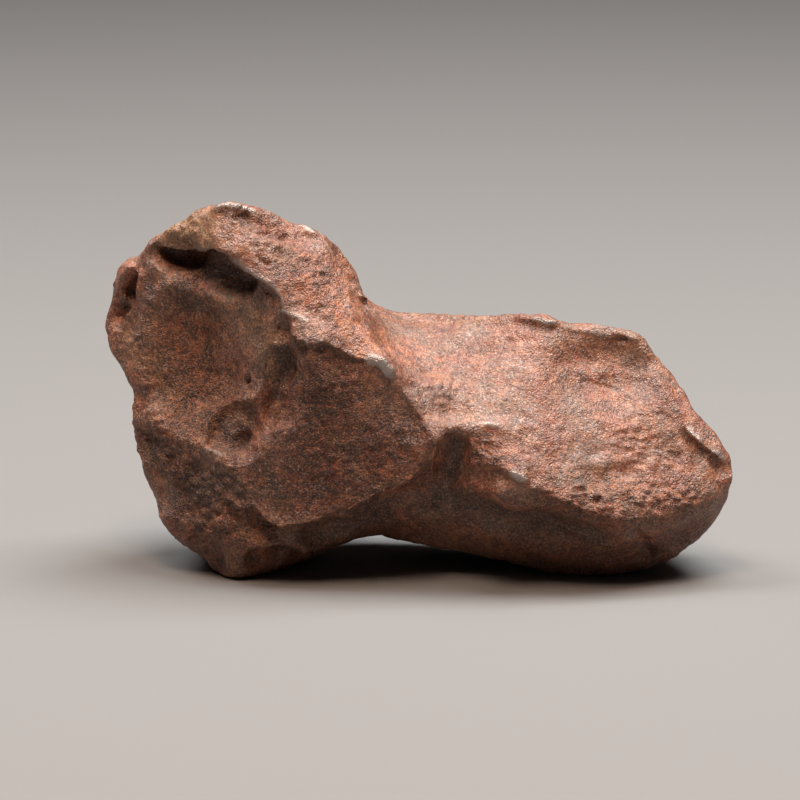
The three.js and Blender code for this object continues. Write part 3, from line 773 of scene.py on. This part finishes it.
# Noise of a size in mm, with a number of finer layers and a shift that tells it from others of its size. The
# tall facet's streaks rise to the right.
rustClouds = {
    "patches": {"size": 2.2, "detail": 4, "shift": 0.0},
    "otherPatches": {"size": 2.2, "detail": 4, "shift": 0.5},
    "mottles": {"size": 0.7, "detail": 3, "shift": 0.9},
    "otherMottles": {"size": 0.7, "detail": 3, "shift": 0.1},
    "specks": {"size": 0.40, "detail": 4, "shift": 0.3},
    "otherSpecks": {"size": 0.40, "detail": 4, "shift": 0.7},
    "flecks": {"size": 0.12, "detail": 3, "shift": 0.2},
    "otherFlecks": {"size": 0.12, "detail": 3, "shift": 0.6},
    "streaks": {"size": 0.085, "detail": 2, "shift": 0.4, "turn": math.radians(-32), "stretch": 3.5},
}

# Smooth steps over a value: where each starts and ends, and what it goes from and to.
rustSteps = {
    "dullPatches": ("patches", 0.40, 0.62, 0, 1),
    "oliveSpecks": ("specks", 0.30, 0.55, 0, 1),
    "redOfItsOwn": ("otherPatches", 0.50, 0.62, 0, 0.8),
    "redSpecks": ("specks", 0.25, 0.6, 0, 1),
    "orangeSpecks": ("otherSpecks", 0.42, 0.66, 0, 1),
    "orangeCrumbs": ("crumbKind", 0.55, 0.85, 0, 1),
    "greyCrumbs": ("otherCrumbKind", 0.55, 0.85, 0, 1),
    "filmPatches": ("otherPatches", 0.34, 0.48, 0.75, 0.1),
    "filmFlecks": ("flecks", 0.44, 0.62, 0, 1),
    "blackMottles": ("mottles", 0.46, 0.58, 0, 1),
    "blackFlecks": ("flecks", 0.40, 0.60, 0.5, 1),
    "blackSpecks": ("specks", 0.46, 0.66, 0, 1),
    "sheenHazeFlecks": ("otherFlecks", 0.46, 0.58, 0, 0.22),
    "tanFlecks": ("otherFlecks", 0.48, 0.60, 0, 0.65),
    "tanSpecks": ("otherSpecks", 0.54, 0.64, 0, 0.45),
    "tanMottles": ("otherMottles", 0.53, 0.68, 0, 0.4),
    "umberFlecks": ("flecks", 0.48, 0.60, 0, 1),
    "umberStreaks": ("streaks", 0.50, 0.60, 0, 0.8),
    "glintGrains": ("otherGrainKind", 0.88, 0.95, 0, 0.5),
    "grainTops": ("grain", 0.55, 0.80, 0, 1),
    "grainRoughness": ("grainKind", 0, 0.5, 0.30, 0.60),
    "patchRelief": ("otherPatches", 0.35, 0.6, 0.55, 1.15),
    "bareFlecks": ("fleckedWear", 0.85, 1.35, 0, 0.9),
}

# Even ramps over what is laid on the skin: the value at 0 and at 1.
rustRamps = {
    "crumbOrange": ("coarse", 0.2, 0.5),
    "crumbGrey": ("coarse", 0.2, 0.45),
    "mottleShare": ("coarse", 0.5, 1),
    "tanShare": ("coarse", 0.45, 0.75),
    "umberShare": ("coarse", 0.35, 0.65),
    "hazeShare": ("coarse", 1, 0),
    "coarseRelief": ("coarse", 0.7, 2),
    "rustyHollow": ("hollow", 0, 0.3),
    # painted shade in the hollows
    "hollowShade": ("hollow", 0, 0.5),
    "redRoughness": ("red", 0, 0.2),
}

# Values worked out of two others in this order, and held between 0 and 1.
rustSums = {
    "rusty": ("MAXIMUM", "orange", "rustyHollow"),
    "orangeShare": ("ADD", "rusty", 0.14),
    "redShare": ("ADD", "red", "redOfItsOwn"),
    # dark crust and painted shade together
    "crustAndShade": ("MAXIMUM", "dark", "hollowShade"),
    "someDark": ("ADD", "crustAndShade", 0.15),
    "darkSpecks": ("MULTIPLY", "someDark", "blackSpecks"),
    "crustAndShadeCover": ("MULTIPLY", "crustAndShade", 0.78),
    "blackShare": ("MAXIMUM", "darkSpecks", "crustAndShadeCover"),
    "redOrDark": ("MAXIMUM", "red", "crustAndShade"),
    "tanLost": ("MULTIPLY", "redOrDark", 0.5),
    "tanKept": ("SUBTRACT", 1, "tanLost"),
    "tanAndLitFlecks": ("ADD", "tanFlecks", "tanSpecks"),
    "redStreaks": ("MULTIPLY", "streaks", "red"),
    "bare": ("MULTIPLY", "wear", "bareFlecks"),
    "metallic": ("MULTIPLY", "bare", 0.85),
    "roughness": ("ADD", "grainRoughness", "redRoughness"),
}

# Colours laid over one another, each by the product of its values.
rustLayers = [
    ("dull", ["dullPatches"]),
    ("olive", ["olive", "oliveSpecks"]),
    ("deepRed", ["redShare", "redSpecks"]),
    ("orange", ["orangeShare", "orangeSpecks"]),
    ("orange", ["orangeCrumbs", "crumbOrange"]),
    ("blueGrey", ["greyCrumbs", "crumbGrey"]),
    ("blueGrey", ["filmPatches", "filmFlecks"]),
    ("black", ["blackMottles", "blackFlecks", "mottleShare"]),
    ("black", ["blackShare"]),
    # painted sheen, off the coarse faces
    ("bloom", ["sheenHazeFlecks", "hazeShare"]),
    # tan rust, and painted light on grain tops
    ("tan", ["tanAndLitFlecks", "tanKept", "tanShare"]),
    ("tan", ["tanMottles", "tanKept"]),
    ("umber", ["umberFlecks", "umberShare"]),
    ("umber", ["red", "umberStreaks"]),
    # painted glints on the tops of some grains
    ("spark", ["glintGrains", "grainTops"]),
    ("metal", ["bare"]),
]

# What each adds to the fine relief, in grain heights, and what the whole is multiplied by.
rustRelief = {"grain": 1.0, "flecks": 0.9, "redStreaks": 1.6, "specks": 3.5}
rustReliefShares = ["patchRelief", "coarseRelief"]


def rustValues(tree):
    # the sockets of all values that the tables above name, and of those laid on the skin
    place = addNode(tree, "TexCoord", {}, {})["Object"]
    values = {}
    for name, cloud in rustClouds.items():
        moved = addNode(tree, "Mapping", {"vector_type": "TEXTURE"}, {
            "Location": (cloud["shift"],) * 3, "Rotation": (0, cloud.get("turn", 0), 0),
            "Scale": (cloud.get("stretch", 1), 1, 1), "Vector": place})
        values[name] = addNode(tree, "TexNoise", {}, {
            "Scale": 1 / (cloud["size"] * mm), "Detail": cloud["detail"],
            "Roughness": rust["noiseRoughness"], "Vector": moved["Vector"]})["Fac"]
    for name in ("wear", "hollow", "orange", "red", "dark", "olive", "coarse"):
        values[name] = addNode(tree, "Attribute", {"attribute_name": name}, {})["Fac"]

    grains = addNode(tree, "TexVoronoi", {}, {"Scale": 1 / (rust["grainSize"] * mm), "Vector": place})
    grainKinds = addNode(tree, "SeparateColor", {}, {"Color": grains["Color"]})
    crumbs = addNode(tree, "TexVoronoi", {"feature": "SMOOTH_F1"}, {
        "Scale": 1 / (rust["crumbSize"] * mm), "Smoothness": rust["crumbSoftness"], "Vector": place})
    crumbKinds = addNode(tree, "SeparateColor", {}, {"Color": crumbs["Color"]})
    inverse = {"operation": "SUBTRACT", "use_clamp": True}
    values["grain"] = addNode(tree, "Math", inverse, {0: 1, 1: grains["Distance"]})["Value"]
    values["grainKind"], values["otherGrainKind"] = grainKinds["Red"], grainKinds["Green"]
    values["crumbKind"], values["otherCrumbKind"] = crumbKinds["Red"], crumbKinds["Green"]
    terms = {0: values["flecks"], 1: values["wear"]}
    values["fleckedWear"] = addNode(tree, "Math", {"operation": "ADD"}, terms)["Value"]

    for name, (source, low, high, bottom, top) in rustSteps.items():
        values[name] = addNode(tree, "MapRange", {"interpolation_type": "SMOOTHSTEP"}, {
            "Value": values[source], "From Min": low, "From Max": high,
            "To Min": bottom, "To Max": top})["Result"]
    for name, (source, bottom, top) in rustRamps.items():
        values[name] = addNode(tree, "MapRange", {}, {
            "Value": values[source], "To Min": bottom, "To Max": top})["Result"]
    for name, (operation, a, b) in rustSums.items():
        terms = {0: values.get(a, a), 1: values.get(b, b)}
        values[name] = addNode(tree, "Math", {"operation": operation, "use_clamp": True}, terms)["Value"]
    return values


def rustedIron():
    # weathered nickel-iron: a sandy oxide skin with a faint metal lustre whose grains glint, with painted
    # glints on some grains, painted shade in hollows and between the grains, and silver where it is rubbed
    # through
    material = bpy.data.materials.new("weathered nickel-iron")
    material.use_nodes = True
    tree = material.node_tree
    values = rustValues(tree)

    colour = linear(rust["brown"])
    for name, factors in rustLayers:
        amount = values[factors[0]]
        for factor in factors[1:]:
            times = {"operation": "MULTIPLY", "use_clamp": True}
            amount = addNode(tree, "Math", times, {0: amount, 1: values[factor]})["Value"]
        layer = {"Factor": amount, "A": colour, "B": linear(rust[name])}
        colour = addNode(tree, "Mix", {"data_type": "RGBA"}, layer)["Result"]

    height = 0
    for name, share in rustRelief.items():
        terms = {0: values[name], 1: share, 2: height}
        height = addNode(tree, "Math", {"operation": "MULTIPLY_ADD"}, terms)["Value"]
    for name in rustReliefShares:
        height = addNode(tree, "Math", {"operation": "MULTIPLY"}, {0: height, 1: values[name]})["Value"]
    bump = addNode(tree, "Bump", {}, {"Strength": 1, "Distance": rust["grainHeight"] * mm, "Height": height})

    shader = tree.nodes["Principled BSDF"]
    shader.inputs["IOR"].default_value = rust["lustre"]
    shader.inputs["Specular Tint"].default_value = linear(rust["sheen"])
    tree.links.new(colour, shader.inputs["Base Color"])
    tree.links.new(values["metallic"], shader.inputs["Metallic"])
    tree.links.new(values["roughness"], shader.inputs["Roughness"])
    tree.links.new(bump["Normal"], shader.inputs["Normal"])
    return material


# fewer triangles where the skin is smooth
modify(specimen, "DECIMATE", {"ratio": body["triangles"] / (2 * len(specimen.data.polygons))})
print("stage: thinned out to", sum(len(p.vertices) - 2 for p in specimen.data.polygons), "triangles")

specimen.data.materials.append(rustedIron())
specimen.scale = (mm,) * 3
selectOnly(specimen)
bpy.ops.object.transform_apply(location=False, rotation=False, scale=True)
bpy.ops.object.shade_smooth()
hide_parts("meteorite")
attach(specimen, "root")
print("stage: specimen finished")


# Floor and light

floor = {
    "size": 1.2,  # m
    "colour": "#7B7977",
    "roughness": 0.8,
}
sky = {
    "colour": "#E4E8EC",
    "strength": 0.03,
}


def addFloor():
    bpy.ops.mesh.primitive_plane_add(size=floor["size"])
    plane = bpy.context.object
    plane.name = "floor"
    card = bpy.data.materials.new("matt paper")
    card.use_nodes = True
    shader = card.node_tree.nodes["Principled BSDF"]
    shader.inputs["Base Color"].default_value = linear(floor["colour"])
    shader.inputs["Roughness"].default_value = floor["roughness"]
    plane.data.materials.append(card)


lampAim = Vector((0, 0, 0.008))  # m, the specimen's middle
lamps = [
    {"name": "key", "place": (0.06, 0.03, 0.25), "size": 0.18, "power": 1.25, "colour": "#FFFFFF"},
    {"name": "front", "place": (-0.02, -0.12, 0.24), "size": 0.09, "power": 0.5, "colour": "#FFDFC8"},
    {"name": "left", "place": (-0.13, 0.05, 0.23), "size": 0.12, "power": 0.45, "colour": "#FFFFFF"},
]


def addLamps():
    for lamp in lamps:
        bpy.ops.object.light_add(type="AREA", location=lamp["place"])
        light = bpy.context.object
        light.name = lamp["name"]
        light.data.size = lamp["size"]
        light.data.energy = lamp["power"]
        light.data.color = linear(lamp["colour"])[:3]
        ahead = lampAim - Vector(lamp["place"])
        light.rotation_euler = ahead.to_track_quat("-Z", "Y").to_euler()
    world = bpy.data.worlds.new("studio")
    bpy.context.scene.world = world
    world.use_nodes = True
    background = world.node_tree.nodes["Background"]
    background.inputs["Color"].default_value = linear(sky["colour"])
    background.inputs["Strength"].default_value = sky["strength"]


addFloor()
addLamps()
bpy.context.scene.view_settings.view_transform = "Standard"
print("stage: floor and light")
